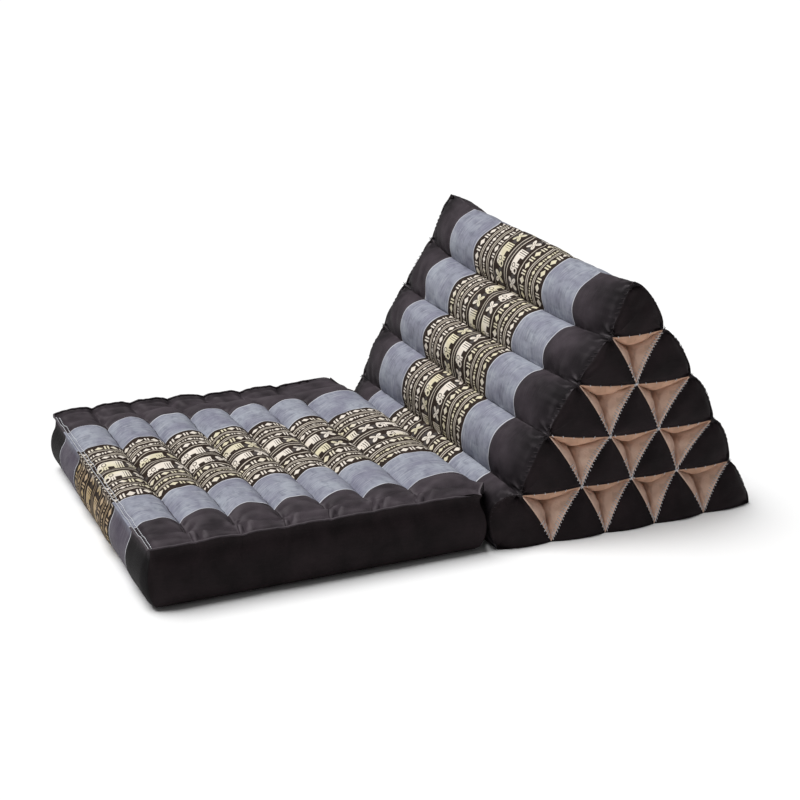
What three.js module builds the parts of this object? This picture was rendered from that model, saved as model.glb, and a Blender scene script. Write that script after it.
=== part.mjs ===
import * as THREE from 'three';

// A folding floor cushion: a triangular bolster of fifteen filled tubes, with one quilted mat in front.
// Millimetres, +Z up. X runs from the mat's free edge to the bolster's back, Y across the width.

// Width over the seams, and how far the filled ends stand out beyond them
const WIDTH = 500;
const HALF_WIDTH = WIDTH / 2;
const CAP_CROWN = { out: 6, ringOut: 4.2, ringSize: 0.6 };
const FOOT_FLARE = 9;

// The gap kept between neighbouring pieces, and the pocket lining's thickness
const GAP = 0.3;
const LINING = 1.2;
const LINING_DEPTH = 32;
const LINING_BOTTOM = 1.4;
const CREASE_PRECISION = 1e-6;

// How far the tubes' ends are sampled inwards from the end seam, and the stations near mid-width
const END_STEPS = [0, 8, 18, LINING_DEPTH, 55];
const MIDDLE_STATIONS = [130, 45];

// The bolster's sewn lines, level by level from the top. x is each line's place at the near end.
// The front line may sit higher, the far end is a little taller, and the middle is fuller and lower.
const LEVELS = [
  { z: 312, x: [600], frontLift: 0, farRise: 13, farShift: -5, belly: 0, sag: 14 },
  { z: 248, x: [571, 643], frontLift: -1, farRise: 14, farShift: -7, belly: 6, sag: 9 },
  { z: 184, x: [528, 608, 685], frontLift: 10, farRise: 4, farShift: -6, belly: 5, sag: 3 },
  { z: 122, x: [489, 574, 642, 720], frontLift: 14, farRise: 4, farShift: -1, belly: 4, sag: 2 },
  { z: 63, x: [454, 537, 606, 671, 748], frontLift: 2, farRise: 2, farShift: -1, belly: 2, sag: -4 },
  { z: 0, x: [424, 494, 567, 637, 711, 783], frontLift: 0, farRise: 0, farShift: 0, belly: 0, sag: 0 },
];
const ROWS = LEVELS.length - 1;

// The tubes' own shape, drawn on a regular triangular lattice before it is fitted to the levels
const CELL = 72;
const CELL_HEIGHT = CELL * Math.sin(Math.PI / 3);
const SWELLS = {
  front: { atSeam: 3, deep: 15.5, within: 24 },
  frontFoot: { atSeam: 29, deep: 15.5, within: 16 },
  back: { atSeam: 9, deep: 15.5, within: 20 },
  backFoot: { atSeam: 6, deep: 12, within: 20 },
};
const CREST_FULLNESS = 1.1;
const ROLL_PROFILE = { roundness: 0.8, lean: 0.2 };

// The inner sides start nearly flat at the end seam and soon fill the hollow, up to its corners' bisectors
const CREASE_ANGLE = 30;
const INNER_SWELL = { heldBack: 0.75, within: 10, roundDeep: 0.12, roundAtSeam: 0.7, roundWithin: 12 };

// Straight steps along one side of a tube
const SEGMENTS = { front: 8, back: 8, inner: 4, floor: 2 };

// The mat's seven channels: where each ends, its crest and the seam behind it
const MAT_START = { x: 0, seam: 71 };
const CHANNELS = [
  { end: 57, crest: 79, seam: 68 },
  { end: 114, crest: 82, seam: 68 },
  { end: 171, crest: 81, seam: 66 },
  { end: 227, crest: 79, seam: 65 },
  { end: 283, crest: 77, seam: 63 },
  { end: 341, crest: 75, seam: 63 },
  { end: 430, crest: 77, seam: 54 },
];
const CHANNEL_STEPS = 6;
const CHANNEL_PROFILE = { sharpness: 2.4, roundness: 0.8 };

// The mat's border, where the channels run out, and its side walls from the top edge to the floor
const BORDER = { within: 45, near: 76, far: 73, ripple: 2.5 };
const MAT_CORNER = { x: 403, z: 73, within: 55 };
const WALL = [
  { down: 0, out: 0 },
  { down: 0.09, out: -2.5 },
  { down: 0.33, out: 2.5 },
  { down: 0.62, out: 3.5 },
  { down: 0.82, out: 0 },
  { down: 0.95, out: -7 },
  { down: 1, out: -17 },
];

// The mat's end wall leans on the first bottom tube, this far from its face
const END_CLEARANCE = 0.9;
const FRONT_STEPS = 24;

const COLOURS = { patchwork: 0x3b3f4a, black: 0x1b1718, pocket: 0xd2a484 };

const lerp = THREE.MathUtils.lerp;
const smooth = (value, from, to) => THREE.MathUtils.smoothstep(value, from, to);

function average(points) {
  const sum = points.reduce((total, point) => total.add(point), points[0].clone().multiplyScalar(0));
  return sum.divideScalar(points.length);
}

// Places on the bolster's levels

function seamLine(level, place, y) {
  const row = LEVELS[level];
  const across = y / HALF_WIDTH;
  const middle = 1 - across ** 4;
  const far = (1 + across) / 2;
  const side = level === 0 ? 0 : (2 * place) / level - 1;
  const lift = place === 0 ? row.frontLift : 0;
  return {
    x: row.x[place] + row.farShift * far + row.belly * side * middle,
    z: row.z + lift + row.farRise * far - row.sag * middle,
  };
}

function onLattice(u, v, y) {
  // u runs along X and v down from the apex on the regular lattice; three seam lines weigh each point
  const depth = v / CELL_HEIGHT;
  const row = Math.min(Math.max(Math.floor(depth), 0), ROWS - 1);
  const down = depth - row;
  const along = u / CELL + depth / 2;
  const cell = Math.min(Math.max(Math.floor(along), 0), row);
  const over = along - cell;
  const insideTube = over <= down || cell === row;
  const corners = insideTube
    ? [[1 - down, row, cell], [down - over, row + 1, cell], [over, row + 1, cell + 1]]
    : [[1 - over, row, cell], [over - down, row, cell + 1], [down, row + 1, cell + 1]];
  const point = { x: 0, z: 0 };
  for (const [weight, level, place] of corners) {
    const line = seamLine(level, place, y);
    point.x += weight * line.x;
    point.z += weight * line.z;
  }
  return point;
}

function flared(x, y, z) {
  // The foot of the bolster spreads a little beyond the seams under its own weight
  const foot = LEVELS[ROWS].x;
  const along = THREE.MathUtils.clamp((x - foot[0]) / (foot[ROWS] - foot[0]), 0, 1);
  const share = (1 - smooth(z, 0, LEVELS[ROWS - 1].z)) * Math.sin(Math.PI * along);
  return y * (1 + (FOOT_FLARE / HALF_WIDTH) * share * (y / HALF_WIDTH) ** 6);
}

function placed(u, v, y, beyond = 0) {
  const point = onLattice(u, v, y);
  const z = Math.max(point.z, 0);
  return new THREE.Vector3(point.x, flared(point.x, y, z) + Math.sign(y) * beyond, z);
}

// How the cloth swells between two seams

function innerSwell(t, depth) {
  // t runs -1 to 1 along the side. The sides swell until they fill the hollow and leave three creases.
  const { heldBack, within, roundDeep, roundAtSeam, roundWithin } = INNER_SWELL;
  const angle = THREE.MathUtils.degToRad(CREASE_ANGLE * (1 - heldBack * Math.exp(-depth / within)));
  const round = roundDeep + roundAtSeam * Math.exp(-depth / roundWithin);
  return (CELL / 2) * Math.tan(angle) * (Math.hypot(1, round) - Math.hypot(t, round));
}

function outerSwell(t, depth, swell, crest) {
  const height = lerp(swell.deep, swell.atSeam, Math.exp(-depth / swell.within));
  if (crest) return CREST_FULLNESS * height * (1 - t * t);
  return height * Math.max(1 - t * t, 0) ** ROLL_PROFILE.roundness * (1 + ROLL_PROFILE.lean * t);
}

// Lattice corners of a tube and of the hollow that points down beside it

const corner = (level, place) => new THREE.Vector2((place - level / 2) * CELL, level * CELL_HEIGHT);

function tubeSides(row, place) {
  // Counter-clockwise as seen from the near side: front, floor side and back
  const top = corner(row - 1, place - 1);
  const front = corner(row, place - 1);
  const back = corner(row, place);
  const frontKind = place === 1 ? 'front' : 'inner';
  const backKind = place === row ? 'back' : 'inner';
  const floorKind = row === ROWS ? 'floor' : 'inner';
  return [
    { from: top, to: front, kind: frontKind },
    { from: front, to: back, kind: floorKind },
    { from: back, to: top, kind: backKind },
  ];
}

function outwards(from, to) {
  // The side's normal, away from the tube; v points down, so the turn is the mirror of the usual one
  const run = to.clone().sub(from).normalize();
  return new THREE.Vector2(-run.y, run.x);
}

function spread(index, kind) {
  // Outer sides are sampled more closely towards their seams, where they turn fastest
  const even = (2 * index) / SEGMENTS[kind] - 1;
  return kind === 'front' || kind === 'back' ? Math.sin((Math.PI / 2) * even) : even;
}

function tubeSwell(kind, t, depth, row) {
  // t is -1 at the side's first seam; the outer profile leans towards the upper seam
  if (kind === 'floor') return 0;
  if (kind === 'inner') return innerSwell(t, depth) - GAP / 2;
  const swell = SWELLS[row === ROWS ? `${kind}Foot` : kind];
  const upward = kind === 'front' ? -t : t;
  return outerSwell(upward, depth, swell, row === 1);
}

function tubeOutline(row, place, y) {
  const depth = HALF_WIDTH - Math.abs(y);
  const corners = [corner(row - 1, place - 1), corner(row, place - 1), corner(row, place)];
  const middle = average(corners);
  const outline = [];
  for (const { from, to, kind } of tubeSides(row, place)) {
    const normal = outwards(from, to);
    for (let i = 0; i < SEGMENTS[kind]; i += 1) {
      const t = spread(i, kind);
      const point = from.clone().lerp(to, (t + 1) / 2);
      point.addScaledVector(normal, tubeSwell(kind, t, depth, row));
      if (i === 0) drawIn(point, middle, row);
      outline.push(point);
    }
  }
  return outline;
}

function drawIn(point, middle, row) {
  // A seam corner stands back from the sewn line, so that six corners can meet there
  const floor = row * CELL_HEIGHT;
  const onFloor = row === ROWS && Math.abs(point.y - floor) < CELL / 4;
  const step = middle.clone().sub(point).setLength(GAP);
  point.add(step);
  if (onFloor) point.y = floor;
}

// Closed bodies from rings of points

function stations() {
  const near = END_STEPS.map((step) => -HALF_WIDTH + step).concat(MIDDLE_STATIONS.map((y) => -y));
  return near.concat(near.map((y) => -y).reverse());
}

function ringBody(rings, capPoints, otherDiagonal = false) {
  // Rings run from the near end to the far end; each cap adds inner rings and one middle point.
  // Pieces that lie against each other split their four-sided faces along the same diagonal.
  const positions = [];
  const index = [];
  const size = rings[0].length;
  const push = (p) => positions.push(p.x, p.y, p.z);
  rings.forEach((ring) => ring.forEach(push));
  for (let r = 0; r < rings.length - 1; r += 1) {
    for (let i = 0; i < size; i += 1) {
      const a = r * size + i;
      const b = r * size + ((i + 1) % size);
      if (otherDiagonal) index.push(a, a + size, b + size, a, b + size, b);
      else index.push(a, a + size, b, b, a + size, b + size);
    }
  }
  capPoints.forEach(({ inner, middle }, end) => {
    let outer = end === 0 ? 0 : (rings.length - 1) * size;
    for (const ring of inner) {
      const start = positions.length / 3;
      ring.forEach(push);
      for (let i = 0; i < size; i += 1) {
        const next = (i + 1) % size;
        const quad = [outer + i, outer + next, start + i, start + i, outer + next, start + next];
        index.push(...(end === 0 ? quad : quad.reverse()));
      }
      outer = start;
    }
    const tip = positions.length / 3;
    push(middle);
    for (let i = 0; i < size; i += 1) {
      const fan = [outer + i, outer + ((i + 1) % size), tip];
      index.push(...(end === 0 ? fan : fan.reverse()));
    }
  });
  return geometry(positions, index);
}

function geometry(positions, index) {
  const shape = new THREE.BufferGeometry();
  shape.setAttribute('position', new THREE.Float32BufferAttribute(positions, 3));
  shape.setIndex(index);
  shape.computeVertexNormals();
  return shape;
}

function tube(row, place) {
  const rings = stations().map((y) => tubeOutline(row, place, y).map((p) => placed(p.x, p.y, y)));
  const caps = [-HALF_WIDTH, HALF_WIDTH].map((y) => {
    const outline = tubeOutline(row, place, y);
    const middle = average(outline);
    const inner = outline.map((p) => {
      const q = middle.clone().lerp(p, CAP_CROWN.ringSize);
      return placed(q.x, q.y, y, CAP_CROWN.ringOut);
    });
    return { inner: [inner], middle: placed(middle.x, middle.y, y, CAP_CROWN.out) };
  });
  return ringBody(rings, caps);
}

// A pocket lining: a three-sided cup between three tubes

function pocketOutline(row, place, depth, offset) {
  // The hollow's corners, in the same turn as a tube's: left, tip and right seen from the near side
  const left = corner(row - 1, place - 1);
  const right = corner(row - 1, place);
  const tip = corner(row, place);
  const outline = [];
  for (const [from, to] of [[left, tip], [tip, right], [right, left]]) {
    const normal = outwards(from, to);
    const reach = creaseEnd(depth, offset);
    for (let i = 0; i < SEGMENTS.inner; i += 1) {
      const t = reach * spread(i, 'inner');
      const point = from.clone().lerp(to, (t + 1) / 2);
      point.addScaledVector(normal, -innerSwell(t, depth) - offset);
      outline.push(point);
    }
  }
  return outline;
}

function creaseEnd(depth, offset) {
  // Where the side, moved in by offset, meets the line that halves the corner
  let low = 0;
  let high = 1;
  while (high - low > CREASE_PRECISION) {
    const t = (low + high) / 2;
    const half = (CELL / 2) * Math.tan(THREE.MathUtils.degToRad(CREASE_ANGLE)) * (1 - t);
    if (innerSwell(t, depth) + offset < half) low = t;
    else high = t;
  }
  return low;
}

function pocket(row, place, end) {
  const steps = END_STEPS.filter((step) => step <= LINING_DEPTH);
  const outer = steps.map((step) => (step === LINING_DEPTH ? step + LINING_BOTTOM : step));
  const ringAt = (step, offset) => {
    const y = end * (HALF_WIDTH - step);
    return pocketOutline(row, place, step, offset).map((p) => placed(p.x, p.y, y));
  };
  const outside = outer.map((step) => ringAt(step, GAP / 2));
  const inside = steps.map((step) => ringAt(step, GAP / 2 + LINING));
  const rings = [...outside.reverse(), ...inside];
  const caps = [rings[0], rings[rings.length - 1]].map((ring) => ({ inner: [], middle: average(ring) }));
  const body = ringBody(rings, caps, end > 0);
  if (end < 0) body.setIndex([...body.index.array].reverse());
  body.computeVertexNormals();
  return body;
}

// The mat: a subdivided box whose faces are bent to the quilted form

function matTop(x, y) {
  const quilted = smooth(HALF_WIDTH - Math.abs(y), 0, BORDER.within);
  const border = lerp(BORDER.near, BORDER.far, (1 + y / HALF_WIDTH) / 2);
  const number = CHANNELS.findIndex((channel) => x <= channel.end);
  const channel = CHANNELS[number];
  const from = number === 0 ? MAT_START : { x: CHANNELS[number - 1].end, seam: CHANNELS[number - 1].seam };
  const w = (x - from.x) / (channel.end - from.x);
  const { sharpness, roundness } = CHANNEL_PROFILE;
  const rise = (1 - Math.abs(2 * w - 1) ** sharpness) ** roundness;
  const height = lerp(lerp(from.seam, channel.seam, w), channel.crest, rise);
  return lerp(border + BORDER.ripple * (rise - 1), height, quilted);
}

function matEnd(y) {
  const inner = smooth(HALF_WIDTH - Math.abs(y), 0, MAT_CORNER.within);
  const last = CHANNELS[CHANNELS.length - 1];
  return { x: lerp(MAT_CORNER.x, last.end, inner), z: lerp(MAT_CORNER.z, last.seam, inner) };
}

function channelPlaces() {
  const places = [MAT_START.x];
  let from = MAT_START.x;
  for (const { end } of CHANNELS) {
    for (let i = 1; i <= CHANNEL_STEPS; i += 1) {
      places.push(lerp(from, end, (1 - Math.cos((Math.PI * i) / CHANNEL_STEPS)) / 2));
    }
    from = end;
  }
  return places;
}

function bolsterFront(height, y) {
  // Where the first bottom tube's front stands at this height
  const top = corner(ROWS - 1, 0);
  const foot = corner(ROWS, 0);
  const depth = HALF_WIDTH - Math.abs(y);
  let below = placed(foot.x, foot.y, y);
  for (let step = 1; step <= FRONT_STEPS; step += 1) {
    const t = 1 - (2 * step) / FRONT_STEPS;
    const point = top.clone().lerp(foot, (t + 1) / 2);
    point.addScaledVector(outwards(top, foot), tubeSwell('front', t, depth, ROWS));
    const above = placed(point.x, point.y, y);
    if (above.z >= height) return lerp(below.x, above.x, (height - below.z) / (above.z - below.z));
    below = above;
  }
  return below.x;
}

function matPoint(i, j, k, places, rows) {
  // Each level of the walls is the top outline, made larger or smaller all round by the wall's profile
  const length = places[places.length - 1];
  const wall = WALL[k];
  const end = matEnd(rows[j]);
  const share = places[i] / length;
  const top = share === 1 ? end.z : matTop(places[i], rows[j]);
  const z = top * (1 - wall.down);
  const back = Math.min(end.x + wall.out, bolsterFront(end.z * (1 - wall.down), rows[j]) - END_CLEARANCE);
  const y = rows[j] * (1 + wall.out / HALF_WIDTH);
  return new THREE.Vector3(lerp(-wall.out, back, share), y, z);
}

function mat() {
  const places = channelPlaces();
  const rows = stations();
  rows.splice(rows.length / 2, 0, 0);
  const foot = WALL.length - 1;
  const positions = [];
  const index = [];
  const seen = new Map();
  const vertex = (i, j, k) => {
    const key = `${i} ${j} ${k}`;
    if (!seen.has(key)) {
      seen.set(key, positions.length / 3);
      const point = matPoint(i, j, k, places, rows);
      positions.push(point.x, point.y, point.z);
    }
    return seen.get(key);
  };
  const face = (a, b, c, d) => index.push(a, b, c, a, c, d);
  const nx = places.length - 1;
  const ny = rows.length - 1;
  for (let i = 0; i < nx; i += 1) {
    for (let j = 0; j < ny; j += 1) {
      face(vertex(i, j, 0), vertex(i + 1, j, 0), vertex(i + 1, j + 1, 0), vertex(i, j + 1, 0));
      face(vertex(i, j, foot), vertex(i, j + 1, foot), vertex(i + 1, j + 1, foot), vertex(i + 1, j, foot));
    }
  }
  for (let k = 0; k < foot; k += 1) {
    for (let i = 0; i < nx; i += 1) {
      face(vertex(i, 0, k), vertex(i, 0, k + 1), vertex(i + 1, 0, k + 1), vertex(i + 1, 0, k));
      face(vertex(i, ny, k), vertex(i + 1, ny, k), vertex(i + 1, ny, k + 1), vertex(i, ny, k + 1));
    }
    for (let j = 0; j < ny; j += 1) {
      face(vertex(0, j, k), vertex(0, j + 1, k), vertex(0, j + 1, k + 1), vertex(0, j, k + 1));
      face(vertex(nx, j, k), vertex(nx, j, k + 1), vertex(nx, j + 1, k + 1), vertex(nx, j + 1, k));
    }
  }
  return geometry(positions, index);
}

// Assembly

function cloth(colour) {
  return new THREE.MeshStandardMaterial({ color: colour, roughness: 0.85, metalness: 0 });
}

function addPiece(group, name, shape, colour) {
  const piece = new THREE.Mesh(shape, cloth(colour));
  piece.name = name;
  group.add(piece);
}

const cushion = new THREE.Group();
addPiece(cushion, 'mat', mat(), COLOURS.patchwork);
for (let row = 1; row <= ROWS; row += 1) {
  for (let place = 1; place <= row; place += 1) {
    addPiece(cushion, `roll_${row}_${place}`, tube(row, place), COLOURS.black);
  }
  for (let place = 1; place < row; place += 1) {
    addPiece(cushion, `pocket_near_${row}_${place}`, pocket(row, place, -1), COLOURS.pocket);
    addPiece(cushion, `pocket_far_${row}_${place}`, pocket(row, place, 1), COLOURS.pocket);
  }
}

// The origin is the middle of the footprint, on the floor
const box = new THREE.Box3().setFromObject(cushion);
const centre = box.getCenter(new THREE.Vector3());
cushion.position.set(-centre.x, -centre.y, -box.min.z);

export default cushion;
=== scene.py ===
import math

import bmesh
import bpy
import numpy as np
from mathutils import Matrix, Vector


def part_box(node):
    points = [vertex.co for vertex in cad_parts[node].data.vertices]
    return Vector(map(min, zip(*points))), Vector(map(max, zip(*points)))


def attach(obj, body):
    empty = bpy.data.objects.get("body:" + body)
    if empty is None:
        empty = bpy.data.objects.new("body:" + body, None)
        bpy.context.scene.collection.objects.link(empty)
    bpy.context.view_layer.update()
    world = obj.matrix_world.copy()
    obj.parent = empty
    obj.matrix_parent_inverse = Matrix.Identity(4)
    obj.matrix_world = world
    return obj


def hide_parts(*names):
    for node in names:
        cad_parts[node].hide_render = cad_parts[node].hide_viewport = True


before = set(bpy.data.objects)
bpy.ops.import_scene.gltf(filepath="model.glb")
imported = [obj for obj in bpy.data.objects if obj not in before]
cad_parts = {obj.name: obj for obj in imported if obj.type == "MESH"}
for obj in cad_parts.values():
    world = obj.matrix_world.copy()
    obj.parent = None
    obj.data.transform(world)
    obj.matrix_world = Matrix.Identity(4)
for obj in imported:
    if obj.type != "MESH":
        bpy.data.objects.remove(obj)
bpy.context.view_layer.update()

# A folding floor cushion: a triangular bolster of fifteen filled tubes with one quilted mat in front.
# Sizes are millimetres from the mat's free edge, the middle of the width and the floor.
MM = 0.001
HALF_WIDTH = 250.0
MAT_BULGE = 3.5
ORIGIN_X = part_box("mat")[0][0] / MM + MAT_BULGE

# The bolster's sewn lines, level by level from the top
LEVELS = (
    dict(z=312, x=(600,), front_lift=0, far_rise=13, far_shift=-5, belly=0, sag=14),
    dict(z=248, x=(571, 643), front_lift=-1, far_rise=14, far_shift=-7, belly=6, sag=9),
    dict(z=184, x=(528, 608, 685), front_lift=10, far_rise=4, far_shift=-6, belly=5, sag=3),
    dict(z=122, x=(489, 574, 642, 720), front_lift=14, far_rise=4, far_shift=-1, belly=4, sag=2),
    dict(z=63, x=(454, 537, 606, 671, 748), front_lift=2, far_rise=2, far_shift=-1, belly=2, sag=-4),
    dict(z=0, x=(424, 494, 567, 637, 711, 783), front_lift=0, far_rise=0, far_shift=0, belly=0, sag=0),
)
ROWS = len(LEVELS) - 1
FOOT_FLARE = 9.0

# The tubes' shape on a regular lattice, before it is fitted to the levels
CELL = 72.0
CELL_HEIGHT = CELL * math.sin(math.pi / 3)
GAP = 0.3
OUTER = ("front", "back")
SWELLS = {
    "front": dict(at_seam=3.0, deep=15.5, within=24.0),
    "front_foot": dict(at_seam=29.0, deep=15.5, within=16.0),
    "back": dict(at_seam=9.0, deep=15.5, within=20.0),
    "back_foot": dict(at_seam=6.0, deep=12.0, within=20.0),
}
# The lowest front tube stands out less at its far end
FAR_FOOT = 4.0
CREST_FULLNESS = 1.1
# How much fuller the top tube stands near its crest, across the width
CREST = dict(y=(-250, -200, -130, -60, 20, 100, 180, 232, 250), rise=(0, 1.5, 4, 6, 9.5, 7.5, 5, 4.5, 0))
ROLL_PROFILE = dict(roundness=0.8, lean=0.2)
CREASE_ANGLE = 30.0
INNER_SWELL = dict(held_back=0.75, within=10.0, round_deep=0.12, round_at_seam=0.7, round_within=12.0)
FLOOR_BULGE = dict(depth=4.5, within=12.0)
SEGMENTS = {"front": 34, "back": 34, "inner": 12, "floor": 10}

# The black caps: rings from the sewn edge to a low crown
CAP_CROWN = 6.5
CAP_RINGS = (1, 0.975, 0.945, 0.91, 0.86, 0.78, 0.68, 0.56, 0.42, 0.26, 0.1)
CAP_LUMP = dict(depth=0.7, wavelength=34)

# The rolls' cloth: its arc, puckers along the seams, gathers at the sewn ends and soft lumps of filling
ROLL_ARC = 1.15 * CELL
PUCKER = dict(depth=0.8, reach=8.0, wavelength=13.0)
GATHER = dict(depth=1.1, reach=14.0, wavelength=9.0)
LUMP = dict(depth=0.8, wavelength=75.0)
WELT = dict(dip=0.9, behind=4.0, width=2.6)
KNOT_PULL = dict(depth=4.2, reach=9.0, fold=2.6, folds=7, fold_reach=14.0)

# Where the brocade's repeat falls on each row, and how far its near edge is sewn off its place there
ROLL_PHASE = {1: 34.0, 2: 9.0, 3: 42.0, 4: 23.0, 5: 42.0}
STRIP_DRIFT = {1: 5.0, 2: 2.0, 3: 3.0, 4: 5.0, 5: 4.0}
DRIFT_PLACE = dict(y=-97.0, within=45.0)

# The tan linings of the hollows, and how far each lip stands into the hollow, just inside its edge
LINING = 1.2
LINING_DEPTH = 34.0
LINING_SEGMENTS = 14
LIP = dict(top=4.0, left=2.4, right=1.0, within=7.0)
CRUMPLE = dict(depth=0.84, wavelength=14)

# The mat's channels: where each ends, its crest and the seam behind it
MAT_START = dict(x=0.0, seam=71.0)
CHANNELS = (
    dict(end=57, crest=79, seam=67),
    dict(end=114, crest=82, seam=67),
    dict(end=171, crest=81, seam=65),
    dict(end=227, crest=79, seam=64),
    dict(end=283, crest=77, seam=62),
    dict(end=341, crest=76, seam=62),
    dict(end=430, crest=78, seam=54),
)
MAT_END = CHANNELS[-1]["end"]
CHANNEL_STEPS = 22
CHANNEL_PROFILE = dict(sharpness=2.4, roundness=0.8)
BORDER = dict(start=34.0, within=60.0, near=76.0, far=73.0, ripple=2.0)
MAT_CORNER = dict(x=403.0, z=73.0, within=55.0, far_straight=20.0)
CORNER_RADIUS = 22.0
WALL = dict(
    down=(0.0, 0.05, 0.12, 0.33, 0.62, 0.82, 0.95, 1.0),
    out=(0.0, -2.0, -2.2, 2.5, 3.5, 0.0, -7.0, -17.0),
)
WALL_STEPS = 18
END_SWELL = 4.5
END_CLEARANCE = 0.9
MAT_PHASE = -5.0

# Where the channel seams stop before the long edges, the tucks there, and the darts that run out from them
SEAM_STOP = dict(near=46.0, far=40.0, sway=3.0)
TUCK = dict(depth=4.6, star=2.4, along=7.0, across=9.0)
DART = dict(shift=9.0, reach=36.0, depth=5.2, width=3.0, ridge=2.0, ridge_width=4.0)
FAR_SHARE = 0.3
FAR_EDGE = dict(valley=4.6, slow=3.6)
# The pinched seam, and each kind of lump: its height, wavelength, seed and how far in it is full
PINCH = dict(height=2.4, width=2.2, dip=2.2, behind=6.5, dip_width=3.4)
MAT_LUMPS = ((0.9, 60, 7, 20), (0.45, 22, 8, 12))

# The patchwork's strips across the width, as half widths
BROCADE_HALF = 93.5
BLUE_HALF = 172.0


def smoothstep(value, low, high):
    t = np.clip((value - low) / (high - low), 0, 1)
    return t * t * (3 - 2 * t)


def mix(a, b, share):
    return a + (b - a) * share


def hill(distance, width):
    """A smooth hump of height 1, which falls off over the width to both sides."""
    return np.exp(-((distance / width) ** 2))


def stacked(*parts):
    """Arrays of one broadcast shape, as the parts of points."""
    return np.stack(np.broadcast_arrays(*parts), axis=-1)


def soft_noise(position, wavelength, seed):
    """A smooth random curve with values of about -1 to 1; the seed keeps it the same in every run."""
    rng = np.random.default_rng(seed)
    total = np.zeros_like(np.asarray(position, float))
    for _ in range(5):
        length = wavelength * rng.uniform(0.6, 1.7)
        total = total + np.sin(2 * math.pi * position / length + rng.uniform(0, 2 * math.pi))
    return total / 2.6


def soft_field(x, y, wavelength, seed):
    """A smooth random surface with values of about -1 to 1."""
    rng = np.random.default_rng(seed)
    total = np.zeros_like(x * y)
    for _ in range(8):
        angle = rng.uniform(0, math.pi)
        length = wavelength * rng.uniform(0.6, 1.7)
        along = x * math.cos(angle) + y * math.sin(angle)
        total = total + np.sin(2 * math.pi * along / length + rng.uniform(0, 2 * math.pi))
    return total / 3.2


def smooth_table(x, xs, ys):
    """A smooth curve through a short table of places and values."""
    xs, ys = np.asarray(xs, float), np.asarray(ys, float)
    slope = np.gradient(ys, xs)
    i = np.clip(np.searchsorted(xs, x) - 1, 0, len(xs) - 2)
    h = xs[i + 1] - xs[i]
    t = (x - xs[i]) / h
    a = (1 + 2 * t) * (1 - t) ** 2 * ys[i] + t * (1 - t) ** 2 * h * slope[i]
    return a + t**2 * (3 - 2 * t) * ys[i + 1] + t**2 * (t - 1) * h * slope[i + 1]


def lengths_along(line):
    """The distance along a line of points, from its first."""
    return np.concatenate([[0], np.cumsum(np.linalg.norm(np.diff(line, axis=0), axis=1))])


def point_on(line, at, where):
    """A point of a line, for one value where of its points' values at."""
    return np.array([np.interp(where, at, line[:, axis]) for axis in range(3)])


def grid_normals(points):
    """Normals of a grid of points, one unit long: its second direction crossed with its first."""
    normal = np.cross(np.gradient(points, axis=1), np.gradient(points, axis=0))
    return normal / np.maximum(np.linalg.norm(normal, axis=-1, keepdims=True), 1e-9)


# The bolster's lattice

SEAM_X = np.zeros((ROWS + 1, ROWS + 1))
for number, level in enumerate(LEVELS):
    SEAM_X[number, : number + 1] = level["x"]
LEVEL = {key: np.array([float(level[key]) for level in LEVELS]) for key in LEVELS[0] if key != "x"}


def seam_line(level, place, y):
    """Where a level's sewn line runs, as x and z at some places across the width."""
    across = y / HALF_WIDTH
    middle, far = 1 - across**4, (1 + across) / 2
    side = np.where(level > 0, 2 * place / np.maximum(level, 1) - 1, 0)
    x = SEAM_X[level, place] + LEVEL["far_shift"][level] * far + LEVEL["belly"][level] * side * middle
    lift = np.where(place == 0, LEVEL["front_lift"][level], 0)
    return x, LEVEL["z"][level] + lift + LEVEL["far_rise"][level] * far - LEVEL["sag"][level] * middle


def on_lattice(u, v, y):
    """Fits points of the regular lattice to the sewn lines, triangle by triangle."""
    depth = v / CELL_HEIGHT
    row = np.clip(np.floor(depth), 0, ROWS - 1).astype(int)
    down = depth - row
    along = u / CELL + depth / 2
    cell = np.clip(np.floor(along), 0, row).astype(int)
    over = along - cell
    tube = (over <= down) | (cell == row)
    corners = (
        (np.where(tube, 1 - down, 1 - over), row, cell),
        (np.where(tube, down - over, over - down), row + tube, cell + ~tube),
        (np.where(tube, over, down), row + 1, cell + 1),
    )
    x = z = 0
    for weight, level, place in corners:
        line_x, line_z = seam_line(level, np.minimum(place, level), y)
        x, z = x + weight * line_x, z + weight * line_z
    return x, z


def placed(u, v, y):
    """Points of the regular lattice, fitted to the levels, as an array of x, y and z."""
    x, z = on_lattice(u, v, y)
    z = np.maximum(z, 0)
    foot = LEVELS[ROWS]["x"]
    along = np.clip((x - foot[0]) / (foot[ROWS] - foot[0]), 0, 1)
    share = (1 - smoothstep(z, 0, LEVELS[ROWS - 1]["z"])) * np.sin(math.pi * along)
    return stacked(x, y * (1 + FOOT_FLARE / HALF_WIDTH * share * (y / HALF_WIDTH) ** 6), z)


def inner_swell(t, depth):
    s = INNER_SWELL
    angle = np.radians(CREASE_ANGLE * (1 - s["held_back"] * np.exp(-depth / s["within"])))
    round_ = s["round_deep"] + s["round_at_seam"] * np.exp(-depth / s["round_within"])
    return CELL / 2 * np.tan(angle) * (np.hypot(1, round_) - np.hypot(t, round_))


def outer_swell(t, depth, swell, crest):
    height = mix(swell["deep"], swell["at_seam"], np.exp(-depth / swell["within"]))
    if crest:
        return CREST_FULLNESS * height * (1 - t * t)
    return height * np.maximum(1 - t * t, 0) ** ROLL_PROFILE["roundness"] * (1 + ROLL_PROFILE["lean"] * t)


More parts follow.
